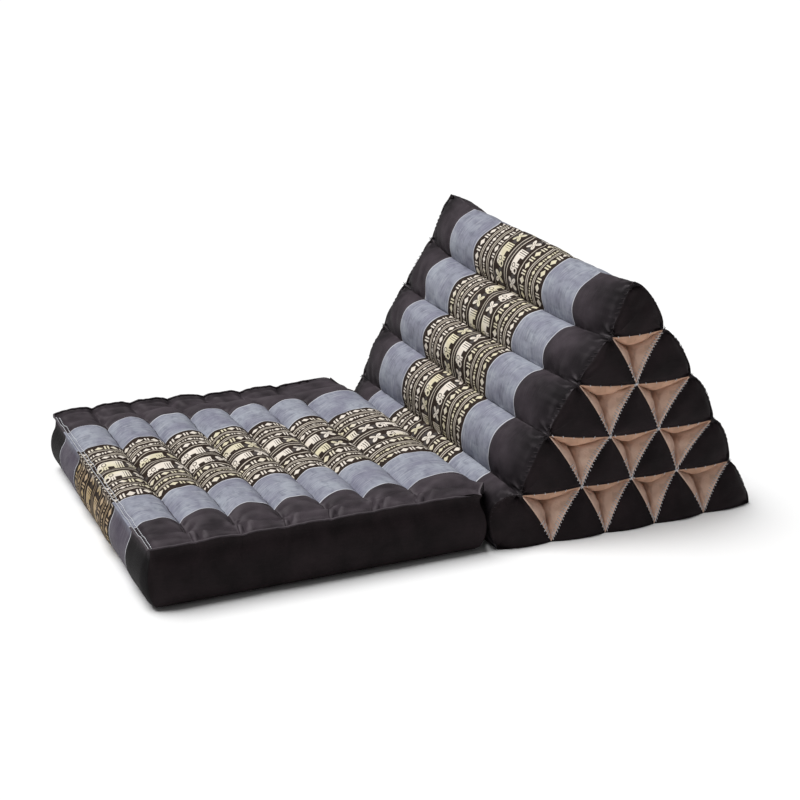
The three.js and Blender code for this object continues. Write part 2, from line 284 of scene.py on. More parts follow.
def tube_swell(kind, t, depth, row, y):
    """How far a tube's side stands out from the straight line between its seams."""
    if kind == "floor":
        return np.zeros_like(t * depth)
    if kind == "inner":
        return inner_swell(t, depth) - GAP / 2
    swell = SWELLS[kind + "_foot" if row == ROWS else kind]
    if kind == "front" and row == ROWS:
        swell = dict(swell, at_seam=np.where(y > 0, FAR_FOOT, swell["at_seam"]))
    return outer_swell(-t if kind == "front" else t, depth, swell, row == 1)


def corner(level, place):
    return np.array([(place - level / 2) * CELL, level * CELL_HEIGHT])


def on_side(start, end, t, swell):
    """Lattice points at places t, -1 to 1, of the line from start to end, moved outwards by swell."""
    run = (end - start) / np.linalg.norm(end - start)
    share, outwards = (t + 1) / 2, (-run[1], run[0])
    return [start[i] + (end[i] - start[i]) * share + outwards[i] * swell for i in (0, 1)]


def tube_sides(row, place):
    top, front, back = corner(row - 1, place - 1), corner(row, place - 1), corner(row, place)
    return (
        (top, front, "front" if place == 1 else "inner"),
        (front, back, "floor" if row == ROWS else "inner"),
        (back, top, "back" if place == row else "inner"),
    )


def places_along(kind):
    """Places along a side, -1 to 1, closer together at the seams of an outer one."""
    even = 2 * np.arange(SEGMENTS[kind] + 1) / SEGMENTS[kind] - 1
    return np.sin(math.pi / 2 * even) if kind in OUTER else even


def stations():
    """Places across the width, closer together at the sewn ends."""
    fine = np.array([0, 1.2, 2.6, 4.5, 7, 10])
    near = -HALF_WIDTH + np.concatenate([fine, np.arange(14, HALF_WIDTH, 4.0)])
    return np.concatenate([near, [0.0], -near[::-1]])


# Meshes

def linked(name, data):
    made = bpy.data.objects.new(name, data)
    bpy.context.scene.collection.objects.link(made)
    return made


def make_object(name, verts, faces, uvs, slots, materials, smooth_angle=50, wear=None):
    """A mesh object from arrays in millimetres; uvs has one pair for each face corner."""
    mesh = bpy.data.meshes.new(name)
    mesh.from_pydata(((verts + np.array([ORIGIN_X, 0, 0])) * MM).tolist(), [], faces)
    for material in materials:
        mesh.materials.append(material)
    mesh.uv_layers.new(name="cloth").data.foreach_set("uv", np.asarray(uvs, np.float32).ravel())
    mesh.polygons.foreach_set("material_index", np.asarray(slots, np.int32))
    mesh.polygons.foreach_set("use_smooth", np.ones(len(mesh.polygons), bool))
    if wear is not None:
        mesh.attributes.new("wear", "FLOAT", "POINT").data.foreach_set("value", wear.astype(np.float32))
    mesh.validate()
    mesh.set_sharp_from_angle(angle=math.radians(smooth_angle))
    return linked(name, mesh)


def face_corners(grid):
    """A grid's values at the four corners of each of its faces."""
    return [grid[:-1, :-1], grid[:-1, 1:], grid[1:, 1:], grid[1:, :-1]]


def fan(line, tip, axis=1):
    """A grid that closes a line of points towards one point."""
    return np.stack([line, np.broadcast_to(tip, line.shape)], axis=axis)


class Patches:
    """Grids of four-sided faces that are joined into one mesh where their edges meet."""

    def __init__(self):
        self.verts, self.faces, self.uvs, self.slots, self.wear = [], [], [], [], []
        self.count = 0

    def add(self, points, uv, slot=0, flip=False, wear=0.0):
        n, m = points.shape[:2]
        way = -1 if flip else 1
        index = face_corners(np.arange(n * m).reshape(n, m) + self.count)[::way]
        self.faces.append(np.stack(index, axis=-1).reshape(-1, 4))
        self.uvs.append(np.stack(face_corners(uv)[::way], axis=-2).reshape(-1, 2))
        self.slots.append(np.full((n - 1) * (m - 1), slot))
        self.verts.append(points.reshape(-1, 3))
        self.wear.append(np.broadcast_to(wear, (n, m)).reshape(-1))
        self.count += n * m

    def build(self, name, materials, smooth_angle=50, outside=False):
        """Joins the patches, and turns the faces outwards if asked."""
        parts = (self.verts, self.faces, self.uvs, self.slots, self.wear)
        verts, faces, uvs, slots, wear = map(np.concatenate, parts)
        piece = make_object(name, verts, faces.tolist(), uvs, slots, materials, smooth_angle, wear)
        work = bmesh.new()
        work.from_mesh(piece.data)
        bmesh.ops.remove_doubles(work, verts=work.verts, dist=0.02 * MM)
        if outside:
            bmesh.ops.recalc_face_normals(work, faces=work.faces)
        work.to_mesh(piece.data)
        work.free()
        piece.data.set_sharp_from_angle(angle=math.radians(smooth_angle))
        return piece


# Cloth movement

BILLOW = dict(frames=20, most=1.8, fine=4.5, smooth=24.0)
LOOSE_CLOTH = dict(
    quality=4, mass=0.12, tension_stiffness=12, compression_stiffness=6, shear_stiffness=4,
    bending_stiffness=0.08, vertex_group_mass="held", shrink_min=-0.05, use_pressure=True,
    uniform_pressure_force=4.0,
)


def blurred(values, y, reach):
    """Values averaged across the width, with the nearer stations counting more."""
    weight = hill(y[:, None] - y[None, :], reach) * np.gradient(y)[None, :]
    return values @ (weight / weight.sum(axis=1, keepdims=True)).T


def folds(height, along, across):
    """Where a surface stands up in small folds, towards 1, or sinks in creases, towards -1."""
    bend = np.gradient(np.gradient(height, along, axis=0), along, axis=0)
    bend = bend + np.gradient(np.gradient(height, across, axis=1), across, axis=1)
    return -np.tanh(bend / 0.35)


def seam_held(points, lines=()):
    """Which points of a grid the seams hold: its borders and any sewn lines."""
    held = np.zeros(points.shape[:2], bool)
    held[[0, -1, *lines]] = True
    held[:, [0, -1]] = True
    return held


def billow(grids):
    """Lets grids of spare cloth, held at their seams, fill with pressure; gives each one's wrinkles.

    Each grid is a pair: its points, and which of them the seams hold.
    """
    verts, faces, pinned, count = [], [], [], 0
    for points, held in grids:
        index = np.arange(held.size).reshape(held.shape) + count
        faces.append(np.stack(face_corners(index), axis=-1).reshape(-1, 4))
        verts.append(points.reshape(-1, 3))
        pinned.append(index[held])
        count += held.size
    start = np.concatenate(verts)
    mesh = bpy.data.meshes.new("loose_cloth")
    mesh.from_pydata((start * MM).tolist(), [], np.concatenate(faces).tolist())
    cloth = linked("loose_cloth", mesh)
    cloth.vertex_groups.new(name="held").add(np.concatenate(pinned).tolist(), 1.0, "REPLACE")
    made = cloth.modifiers.new("billow", "CLOTH")
    for key, value in LOOSE_CLOTH.items():
        setattr(made.settings, key, value)
    made.settings.effector_weights.gravity = 0
    made.collision_settings.use_collision = False
    made.point_cache.frame_start, made.point_cache.frame_end = 1, BILLOW["frames"]
    for frame_number in range(1, BILLOW["frames"] + 1):
        bpy.context.scene.frame_set(frame_number)
    moved = cloth.evaluated_get(bpy.context.evaluated_depsgraph_get())
    end = np.empty(len(start) * 3)
    moved.data.vertices.foreach_get("co", end)
    shift = end.reshape(-1, 3) / MM - start
    bpy.data.objects.remove(cloth)
    bpy.context.scene.frame_set(1)
    wrinkles = []
    for (points, held), own in zip(grids, np.split(shift, np.cumsum([held.size for _, held in grids]))):
        proud = (own.reshape(points.shape) * grid_normals(points)).sum(axis=-1)
        y = points[len(points) // 2, :, 1]
        rough = blurred(proud, y, BILLOW["fine"]) - blurred(proud, y, BILLOW["smooth"])
        rough[1:-1] = (rough[:-2] + 2 * rough[1:-1] + rough[2:]) / 4
        wrinkles.append(BILLOW["most"] * np.tanh(rough / BILLOW["most"]))
    return wrinkles


def refined(coarse, shape):
    """A coarse grid of values, read at the points of a finer one."""
    rows = np.linspace(0, len(coarse) - 1, shape[0])
    low = np.minimum(rows.astype(int), len(coarse) - 2)
    return mix(coarse[low], coarse[low + 1], (rows - low)[:, None])


# Tubes

def welt(distance):
    """The dip just behind a sewn edge, which leaves the edge itself standing as a thin ridge."""
    return -WELT["dip"] * hill(distance - WELT["behind"], WELT["width"])


def knot_pull(across, along, turn):
    """How far cloth sinks and folds around a knot, from its place beside the knot."""
    away = np.hypot(across, along)
    ripple = np.cos(KNOT_PULL["folds"] * np.arctan2(along, across) + turn)
    fold = KNOT_PULL["fold"] * np.exp(-away / KNOT_PULL["fold_reach"]) * np.minimum(away / 4, 1)
    return fold * (ripple - 0.3) - KNOT_PULL["depth"] * hill(away, KNOT_PULL["reach"])


def side_points(row, place, start, end, kind, y):
    """One side of a tube as a grid: along the side, then across the width."""
    t, depth = places_along(kind)[:, None], HALF_WIDTH - np.abs(y)
    u, v = on_side(start, end, t, tube_swell(kind, t, depth, row, y))
    middle = (corner(row - 1, place - 1) + corner(row, place - 1) + corner(row, place)) / 3
    for at in (0, -1):
        pull = middle - np.array([u[at, 0], v[at, 0]])
        pull = pull / np.linalg.norm(pull) * GAP
        u[at] += pull[0]
        on_floor = row == ROWS and abs(v[at, 0] - row * CELL_HEIGHT) < 1
        v[at] = row * CELL_HEIGHT if on_floor else v[at] + pull[1]
    points = placed(u, v, y)
    if kind == "floor":
        bulge = FLOOR_BULGE["depth"] * np.maximum(1 - t**2, 0) * np.exp(-depth / FLOOR_BULGE["within"])
        points[..., 1] += np.sign(y) * bulge
    elif row == 1 and kind in OUTER:
        near_crest = (1 - t if kind == "front" else 1 + t) / 2
        points[..., 2] += smooth_table(y, CREST["y"], CREST["rise"]) * near_crest**1.6
    return points


def roll_relief(kind, y, seed):
    """The small forms of a roll's cloth, as heights over its side."""
    depth = HALF_WIDTH - np.abs(y)
    arc = (places_along(kind)[:, None] + 1) / 2 * ROLL_ARC
    to_seam = np.minimum(arc, ROLL_ARC - arc)
    pucker = np.exp(-to_seam / PUCKER["reach"]) * (soft_noise(y, PUCKER["wavelength"], seed) - 0.6)
    gathers = [soft_noise(arc, GATHER["wavelength"], seed + step) for step in (1, 3)]
    gather = np.exp(-depth / GATHER["reach"]) * (np.where(y < 0, *gathers) - 0.5)
    relief = PUCKER["depth"] * pucker + LUMP["depth"] * soft_field(arc, y, LUMP["wavelength"], seed + 2)
    relief = relief + GATHER["depth"] * gather + knot_pull(to_seam, depth, seed % 7) + welt(depth)
    return relief * np.minimum(to_seam / 3.0, 1) * np.minimum(depth / 2.0, 1)


def arc_lengths(points):
    """Distance along each side at mid-width, from its first seam."""
    return lengths_along(points[:, points.shape[1] // 2])


def add_cap(patches, outline, end, knots, seed):
    """The black cap: rings from the end seam to a low crown, pulled in at the knots."""
    share = np.array(CAP_RINGS)
    rings = outline.mean(axis=0) + (outline - outline.mean(axis=0)) * share[:, None, None]
    crown = CAP_CROWN * (1 - share**2.2) ** 0.75
    flat = rings[..., [0, 2]]
    edge = np.linalg.norm(flat - flat[:1], axis=-1)
    lumps = CAP_LUMP["depth"] * soft_field(flat[..., 0], flat[..., 1], CAP_LUMP["wavelength"], seed)
    relief = welt(edge) + lumps * smoothstep(edge, 0, 12)
    for number, knot in enumerate(knots):
        off = flat - knot
        beside = smoothstep(np.linalg.norm(off, axis=-1), 0, 4)
        relief = relief + knot_pull(np.abs(off[..., 0]), off[..., 1], number) * beside
    rings[..., 1] += end * (crown[:, None] + relief * np.minimum(edge / 2.0, 1))
    rings = np.concatenate([rings, rings[:, :1]], axis=1)
    tip = rings[-1, :-1].mean(axis=0) + np.array([0, end * 0.1, 0])
    for grid in (rings, fan(rings[-1], tip, axis=0)):
        patches.add(grid, grid[..., [0, 2]], 1, flip=end < 0)


def tube_grids(row, place, y):
    """The three sides of a tube, before their wrinkles."""
    return [
        dict(
            kind=kind,
            points=side_points(row, place, start, end, kind, y),
            seed=1000 * row + 100 * place + 10 * number,
            wrinkles=0.0,
        )
        for number, (start, end, kind) in enumerate(tube_sides(row, place))
    ]


def make_tube(row, place, sides, y, materials):
    patches = Patches()
    outlines, knots = {-1: [], 1: []}, {-1: [], 1: []}
    strips = y + STRIP_DRIFT[row] * hill(y - DRIFT_PLACE["y"], DRIFT_PLACE["within"])
    for side in sides:
        points, kind, wear = side["points"], side["kind"], 0.0
        arc = arc_lengths(points)
        along = arc[-1] - arc if kind == "front" else arc
        if kind in OUTER:
            relief = roll_relief(kind, y, side["seed"]) + side["wrinkles"]
            points = points + relief[..., None] * grid_normals(points)
            # The folds' curvature paints a pale highlight on crests and shade in creases of the roll's
            # colour
            wear = folds(relief, arc, y)
        uv = stacked((along + ROLL_PHASE[row])[:, None], strips)
        patches.add(points, uv, 0 if kind in OUTER else 1, flip=True, wear=wear)
        for end, column in ((-1, 0), (1, -1)):
            outlines[end].append(points[:-1, column])
            if kind in OUTER:
                knots[end] += [points[at, column][[0, 2]] for at in (0, -1)]
    for end, parts in outlines.items():
        add_cap(patches, np.concatenate(parts), end, knots[end], 1000 * row + place)
    piece = patches.build(f"tube_{row}_{place}", materials)
    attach(piece, "root")
    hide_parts(f"roll_{row}_{place}")


# Pocket linings

def crease_end(depth, offset):
    """Where the side, moved in by offset, meets the line that halves the corner."""
    low, high = np.zeros_like(depth), np.ones_like(depth)
    for _ in range(30):
        t = (low + high) / 2
        half = CELL / 2 * math.tan(math.radians(CREASE_ANGLE)) * (1 - t)
        inside = inner_swell(t, depth) + offset < half
        low, high = np.where(inside, t, low), np.where(inside, high, t)
    return low


def pocket_surface(end, depth, offset, start, stop, lip):
    """One side of a lining's inner or outer face: along the side, then inwards."""
    share_of_side = np.linspace(-1, 1, LINING_SEGMENTS + 1)[:, None]
    t = share_of_side * crease_end(depth, offset)
    rise = depth / LIP["within"] * np.exp(1 - depth / LIP["within"])
    proud = lip * (1 - share_of_side**2) * rise
    u, v = on_side(start, stop, t, -inner_swell(t, depth) - offset - proud)
    return placed(u, v, end * (HALF_WIDTH - depth))


def pocket_edges(row, place):
    left, right, tip = corner(row - 1, place - 1), corner(row - 1, place), corner(row, place)
    return (("left", left, tip), ("right", tip, right), ("top", right, left))


def make_pocket(row, place, end, materials):
    depth = np.concatenate([[0, 0.8, 1.8], np.arange(3.2, LINING_DEPTH, 1.8), [LINING_DEPTH]])
    patches = Patches()
    edges = pocket_edges(row, place)
    centre = sum(start for _, start, _ in edges) / 3
    for side, start, stop in edges:
        # Each side takes its own copy of the tan: painted shade under the top lip, half shade on the left,
        # light on the right
        slot = ("top", "left", "right").index(side)
        smooth = pocket_surface(end, depth, GAP / 2 + LINING, start, stop, LIP[side])
        outer = pocket_surface(end, depth, GAP / 2, start, stop, LIP[side])
        across, wavelength = smooth[..., 0] + smooth[..., 1], CRUMPLE["wavelength"]
        crumple = CRUMPLE["depth"] * soft_field(across, smooth[..., 2], wavelength, 10 * row + place)
        inner = smooth + (crumple * smoothstep(depth, 1, 9))[..., None] * grid_normals(smooth)
        inner[[0, -1]] = smooth[[0, -1]]
        outer[:, -1, 1] -= end * 1.4
        uv = stacked(np.linspace(0, CELL, LINING_SEGMENTS + 1)[:, None], depth)
        patches.add(inner, uv, slot, flip=end < 0)
        patches.add(outer, uv, slot, flip=end > 0)
        rim = np.stack([inner[:, 0], outer[:, 0]], axis=1)
        patches.add(rim, rim[..., [0, 2]], slot, flip=end > 0)
        for face, flip in ((inner, end < 0), (outer, end > 0)):
            middle = placed(*centre, np.array(end * (HALF_WIDTH - LINING_DEPTH)))
            middle[1] = face[0, -1, 1]
            floor = fan(face[:, -1], middle)
            patches.add(floor, floor[..., [0, 2]], slot, flip=flip)
    name = "near" if end < 0 else "far"
    piece = patches.build(f"lining_{name}_{row}_{place}", materials, 40)
    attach(piece, "root")
    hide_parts(f"pocket_{name}_{row}_{place}")


# The mat

def channel_at(x):
    """Each place's share of its channel, the seams before and after it, and the channel's crest."""
    ends = np.array([c["end"] for c in CHANNELS], float)
    number = np.minimum(np.searchsorted(ends, x - 1e-6), len(CHANNELS) - 1)
    starts = np.concatenate([[MAT_START["x"]], ends[:-1]])
    seams = np.array([MAT_START["seam"]] + [c["seam"] for c in CHANNELS], float)
    crests = np.array([c["crest"] for c in CHANNELS], float)
    w = (x - starts[number]) / (ends[number] - starts[number])
    return w, seams[number], seams[number + 1], crests[number]


def mat_top(x, y):
    quilted = smoothstep(HALF_WIDTH - np.abs(y), BORDER["start"], BORDER["within"])
    border = mix(BORDER["near"], BORDER["far"], (1 + y / HALF_WIDTH) / 2)
    w, seam_before, seam_after, crest = channel_at(x)
    from_middle = np.abs(2 * w - 1) ** CHANNEL_PROFILE["sharpness"]
    rise = np.maximum(1 - from_middle, 0) ** CHANNEL_PROFILE["roundness"]
    height = mix(mix(seam_before, seam_after, w), crest, rise)
    return mix(border + BORDER["ripple"] * (rise - 1), height, quilted)


def ridge(edge):
    """A pinched seam: a thin ridge at the edge and a dip behind it."""
    dip = PINCH["dip"] * hill(edge - PINCH["behind"], PINCH["dip_width"])
    return PINCH["height"] * hill(edge, PINCH["width"]) - dip


def mat_relief(x, y):
    """The pinched edge, the tucks where channel seams stop, their darts, puckers and soft lumps."""
    edge = HALF_WIDTH - np.abs(y)
    inside = np.minimum(edge, x)
    total = ridge(edge) + ridge(x) * smoothstep(edge, 0, 8)
    for height, wavelength, seed, full in MAT_LUMPS:
        total = total + height * soft_field(x, y, wavelength, seed) * smoothstep(inside, 2, full)
    strength = np.where(y < 0, 1.0, FAR_SHARE)
    for number, channel in enumerate(CHANNELS[:-1]):
        at = channel["end"]
        away = np.abs(x - at)
        pucker = 1.2 * np.exp(-away / 8.0) * (soft_noise(y, 13, 40 + number) - 0.5)
        sway = SEAM_STOP["sway"] * math.sin(2.4 * number)
        stop = np.where(y < 0, SEAM_STOP["near"], SEAM_STOP["far"]) + sway
        total = total + pucker * smoothstep(edge, stop - 8, stop + 8) * np.minimum(away / 3.0, 1)
        off_x, off_y = (x - at) / TUCK["along"], (edge - stop) / TUCK["across"]
        off = np.hypot(off_x, off_y)
        star = np.exp(-off) * np.cos(5 * np.arctan2(off_y, off_x) + number) * np.minimum(away / 2, 1)
        total = total + strength * (TUCK["star"] * star - TUCK["depth"] * hill(off, 1))
        dart_at = at + DART["shift"] * (1 - 0.3 * math.sin(number)) + 0.12 * (edge - 20)
        within = smoothstep(DART["reach"] - edge, -8, 8) * smoothstep(edge, 1, 8)
        beside = DART["ridge"] * hill(x - dart_at - 7, DART["ridge_width"])
        total = total - strength * within * (DART["depth"] * hill(x - dart_at, DART["width"]) - beside)
        valley = hill(away, 7.0) * smoothstep(stop + 12 - edge, -8, 8) * smoothstep(edge, -14, 16)
        total = total - FAR_EDGE["valley"] * valley * (y > 0)
    gathers = np.exp(-edge / 9.0) * (soft_noise(x, 11, 90) + 0.8 * soft_noise(x + 1.7 * edge, 6.5, 91))
    slow = FAR_EDGE["slow"] * np.cos(math.pi * (x - 90) / 220) * smoothstep(y, 180, 240)
    return total + 0.55 * gathers * smoothstep(edge, 0, 3) + slow


def mat_end(y):
    straight = np.where(y > 0, MAT_CORNER["far_straight"], 0)
    inner = smoothstep(HALF_WIDTH - np.abs(y) - straight, 0, MAT_CORNER["within"])
    return mix(MAT_CORNER["x"], MAT_END, inner), mix(MAT_CORNER["z"], CHANNELS[-1]["seam"], inner)


def bolster_front(heights, y):
    """Where the first bottom tube's front stands at some heights, at one place across the width."""
    t = np.linspace(1, -1, 60)
    swell = tube_swell("front", t, HALF_WIDTH - abs(y), ROWS, y)
    points = placed(*on_side(corner(ROWS - 1, 0), corner(ROWS, 0), t, swell), np.full_like(t, y))
    return np.interp(heights, points[:, 2], points[:, 0])


def channel_places():
    """Places along the mat, closer together at each channel seam."""
    w = (1 - np.cos(math.pi * np.arange(1, CHANNEL_STEPS + 1) / CHANNEL_STEPS)) / 2
    places = [[MAT_START["x"]]]
    for channel in CHANNELS:
        start = places[-1][-1]
        places.append(start + (channel["end"] - start) * w)
    return np.concatenate(places)


def mat_grid(places, y, down, relief):
    """Points of the mat for places along it, across it and down its walls, as broadcast arrays."""
    out = smooth_table(down, WALL["down"], WALL["out"])
    end_x, end_z = mat_end(y)
    share = places / MAT_END
    top = np.where(share >= 1, end_z, mat_top(places, y)) + relief
    z, width = np.broadcast_arrays(top * (1 - down), y)
    level = np.broadcast_to(end_z * (1 - down), z.shape)
    stop = np.empty(z.shape)
    for across in np.unique(width):
        here = width == across
        stop[here] = bolster_front(level[here], across) - END_CLEARANCE
    x = mix(-out - END_SWELL * np.sin(math.pi * down), np.minimum(end_x + out, stop), share)
    return stacked(x, y * (1 + out / HALF_WIDTH), z)


def rounded(points, down):
    """Rounds the mat's two free upright corners in plan, more below the pinched edge than at it."""
    share = 0.5 + 0.5 * smoothstep(np.broadcast_to(down, points.shape[:2]), 0, 0.22)
    inside_x = np.clip(1 - (points[..., 0] + MAT_BULGE) / CORNER_RADIUS, 0, 1)
    inside_y = np.clip(1 - (HALF_WIDTH + MAT_BULGE - np.abs(points[..., 1])) / CORNER_RADIUS, 0, 1)
    moved = points.copy()
    moved[..., 0] += share * CORNER_RADIUS * inside_x * (1 - np.sqrt(1 - inside_y**2 / 2))
    inwards = share * CORNER_RADIUS * inside_y * (1 - np.sqrt(1 - inside_x**2 / 2))
    moved[..., 1] -= np.sign(points[..., 1]) * inwards
    return moved


def wall_relief(along, down, seed):
    """Gathers under the pinched edge and slow waves in a side wall."""
    depth = down * MAT_CORNER["z"]
    gathers = np.exp(-depth / 9.0) * soft_noise(along, 10, seed) * smoothstep(depth, 0, 5)
    waves = np.sin(math.pi * np.clip(down, 0, 1)) * soft_field(along, depth, 85, seed + 1)
    return 0.8 * gathers + 1.1 * waves


def mat_points(y):
    places = channel_places()
    fade = smoothstep(MAT_END - places, 0, 12)[:, None]
    relief = mat_relief(places[:, None], y) * fade
    return dict(places=places, relief=relief, top=mat_grid(places[:, None], y, 0.0, relief))


def make_mat(mat, y, wrinkles, materials):
    px, py = mat["places"][:, None], y[:, None]
    down = np.linspace(0, 1, WALL_STEPS + 1)
    fallen = down * MAT_CORNER["z"]
    patches = Patches()
    top = rounded(mat["top"] + wrinkles[..., None] * np.array([0, 0, 1]), 0.0)
    arc = arc_lengths(mat_grid(px, y, 0.0, 0.0)) + MAT_PHASE
    # The top's fold curvature paints a pale highlight on crests and shade in creases of the mat's colour
    patches.add(top, stacked(arc[:, None], y), 0, flip=True, wear=folds(top[..., 2], mat["places"], y))
    # Slot 1, the black cloth with painted shade, covers the bottom and the long side walls
    patches.add(rounded(mat_grid(px, y, 1.0, 0.0), 1.0), stacked(px, y), 1)
    for at, flip, way in ((0, False, -1), (-1, True, 1)):
        side = mat_grid(px, y[[at]], down, mat["relief"][:, [at]])
        ends = smoothstep(np.minimum(px, MAT_END - px), 0, 12)
        side[..., 1] += way * wall_relief(px, down, 200 + way) * ends
        patches.add(rounded(side, down), stacked(arc[:, None], fallen), 1, flip=flip)
    for at, flip, way in ((0, True, -1), (-1, False, 0)):
        wall = mat_grid(mat["places"][[at]], py, down, mat["relief"][at][:, None])
        ends = smoothstep(HALF_WIDTH - np.abs(py), 0, 12)
        wall[..., 0] += way * wall_relief(py, down, 300) * ends
        uv = stacked(MAT_PHASE - fallen, py)
        patches.add(rounded(wall, down), uv, 0 if at == 0 else 1, flip=flip)
    piece = patches.build("mat_cover", materials, 60)
    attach(piece, "root")
    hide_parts("mat")
    make_welt(top, arc, materials)
    return top


def make_welt(top, arc, materials):
    """The thin rolled seam that stands round the top of the mat's free sides."""
    turns = np.arange(9) / 8 * 2 * math.pi
    line = np.concatenate([top[:-6, 0][::-1], top[0, 1:-1], top[:-6, -1]])
    along = np.concatenate([arc[:-6][::-1], np.full(top.shape[1] - 2, arc[0]), arc[:-6]])
    edge = np.full(len(arc) - 6, HALF_WIDTH)
    across = np.concatenate([-edge, top[0, 1:-1, 1], edge])
    ahead = np.gradient(line, axis=0)
    out = np.stack([-ahead[:, 1], ahead[:, 0], np.zeros(len(line))], axis=-1)
    out = out / np.linalg.norm(out, axis=1, keepdims=True)
    up = np.array([0, 0, 1.0])
    run = lengths_along(line)
    wobble = (0.3 * soft_noise(run, 23, 400) + 0.2 * soft_noise(run, 8, 410))[:, None]
    taper = (0.1 + 0.9 * smoothstep(np.minimum(run, run[-1] - run), 0, 14))[:, None]
    middle = line + out * (0.2 + 0.4 * wobble) + up * ((2.1 + wobble) * taper - 1.6)
    spoke = out[:, None] * np.cos(turns)[:, None] * 1.4 + up * np.sin(turns)[:, None] * 1.2
    points = middle[:, None] + spoke * taper[:, None]
    uv = stacked(along[:, None] + turns * 0.5, across[:, None])
    patches = Patches()
    # Painted highlight along the welt's upper side
    patches.add(points, uv, 0, wear=0.7 * np.maximum(np.sin(turns), 0))
    for at in (0, -1):
        patches.add(fan(points[at], middle[at]), fan(uv[at], uv[at]), 0, flip=at == 0)
    piece = patches.build("mat_welt", materials, 80, outside=True)
    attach(piece, "root")


# Stitches and knots

# A thread's rings, by their share of its length: how high they stand and how thick they are
THREAD = dict(
    share=(0.0, 0.12, 0.5, 0.88, 1.0), lift=(-0.4, 0.35, 0.8, 0.35, -0.4), thick=(0.35, 0.9, 1.0, 0.9, 0.35)
)
THREAD_SIDES = 6
# Spacing of the whip stitches along each edge of a pocket, and the share of the edge that shows them
WHIP = dict(
    right=dict(spacing=3.9, first=-0.93, last=0.9),
    left=dict(spacing=5.4, first=0.25, last=0.93),
    top=dict(spacing=15.0, first=-0.5, last=0.9),
)
EDGE_SEAM = dict(rows=(2.0, 6.4), limit=240.0, step=4.6)
CHANNEL_SEAM = dict(limit=204.0, step=5.2)


def thread_piece(name, lines, radius, material):
    """Short threads as one mesh. A line is its two ends and the direction in which it stands proud."""
    start, stop, normal = np.moveaxis(np.array(lines, float), 1, 0)
    length = np.linalg.norm(stop - start, axis=1, keepdims=True)
    along = (stop - start) / np.maximum(length, 1e-6)
    side = np.cross(along, normal)
    side = side / np.linalg.norm(side, axis=1, keepdims=True)
    normal = np.cross(side, along)
    share, lift, thick = [np.array(THREAD[key])[:, None] for key in ("share", "lift", "thick")]
    turns = np.arange(THREAD_SIDES)
    angle = (turns / THREAD_SIDES * 2 * math.pi)[:, None]
    middle = start[:, None] + (stop - start)[:, None] * share + normal[:, None] * lift * radius
    spoke = side[:, None] * np.cos(angle) + normal[:, None] * np.sin(angle)
    rings = middle[:, :, None] + spoke[:, None] * thick[:, None] * radius
    index = np.arange(rings.size // 3).reshape(rings.shape[:3])
    after = np.roll(index, -1, axis=2)
    quads = np.stack([index[:, :-1], after[:, :-1], after[:, 1:], index[:, 1:]], axis=-1).reshape(-1, 4)
    caps = np.concatenate([index[:, 0, ::-1], index[:, -1]])
    run = length * share[:, 0]
    low, high = run[:, :-1, None], run[:, 1:, None]
    corners = ((low, turns), (low, turns + 1), (high, turns + 1), (high, turns))
    uvs = np.stack([stacked(*pair) for pair in corners], axis=-2)
    uvs = np.concatenate([uvs.reshape(-1, 2), np.zeros((caps.size, 2))])
    faces = quads.tolist() + caps.tolist()
    piece = make_object(name, rings.reshape(-1, 3), faces, uvs, np.zeros(len(faces)), [material], 80)
    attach(piece, "root")


def whip_stitches(end, rng):
    """Small threads over the pockets' edges, from the black cap into the lining."""
    lines, outward, rim = [], np.array([0, end, 0.0]), GAP / 2 + LINING
    pockets = [(row, place) for row in range(2, ROWS + 1) for place in range(1, row)]
    for side, start, stop in [edge for pocket in pockets for edge in pocket_edges(*pocket)]:
        rule = WHIP[side]
        bends = [
            pocket_surface(end, np.array([deep]), offset, start, stop, lip)[:, 0]
            for deep, offset, lip in ((0.0, GAP / 2 - 1.5, 0), (0.0, rim, 0), (2.8, rim + 0.3, LIP[side]))
        ]
        at = np.linspace(-1, 1, LINING_SEGMENTS + 1)
        run = np.linalg.norm(bends[0][-1] - bends[0][0])
        places = np.arange(rule["first"], rule["last"], 2 * rule["spacing"] / run)
        for where in places + rng.uniform(-0.012, 0.012, len(places)):
            slanting = zip(bends, (0.0, 0.02, 0.04))
            low, top, deep = [point_on(bend, at, where + slant) for bend, slant in slanting]
            low = low + (low - top) * rng.uniform(-0.2, 0.25)
            proud = outward * 0.45
            lines.append((low + proud, top + proud, outward))
            if side != "top":
                lines.append((top + proud * 0.7, deep, outward))
    return lines


def cap_loops(end, tubes, rng):
    """Dark loops of thread that join each cap to the round side of its roll."""
    lines = []
    column, inner = (0, 3) if end < 0 else (-1, -4)
    for side in outer_sides(tubes):
        points = side["points"]
        edge, back = points[:, column], points[:, inner]
        normal = grid_normals(points)[:, column]
        arc = lengths_along(edge)
        for where in np.arange(4, arc[-1] - 3, 6.2) + rng.uniform(-1, 1):
            at, onto = point_on(edge, arc, where), point_on(back, arc, where + 2.4)
            up = point_on(normal, arc, where)
            start = at - up * 1.4 + np.array([0, end * 1.2, 0])
            lines.append((start, onto - up * 0.3, up + np.array([0, end * 0.8, 0])))
    return lines


def knots(end, rng):
    """Small tied stars where the tubes' corners meet: dark at the outside, pale inside."""
    dark, pale = [], []
    for level in range(1, ROWS):
        for place in range(level + 1):
            x, z = seam_line(level, place, np.array(end * HALF_WIDTH))
            centre = np.array([float(x), end * (HALF_WIDTH + 0.9), float(z)])
            arms, reach, lines = (4, 4.2, dark) if place in (0, level) else (3, 3.0, pale)
            for turn in range(arms):
                angle = math.pi * turn / arms + rng.uniform(-0.3, 0.3)
                arm = np.array([math.cos(angle), 0, math.sin(angle)]) * reach * rng.uniform(0.8, 1.2)
                lines.append((centre - arm, centre + arm, (0, end, 0)))
    return dark, pale


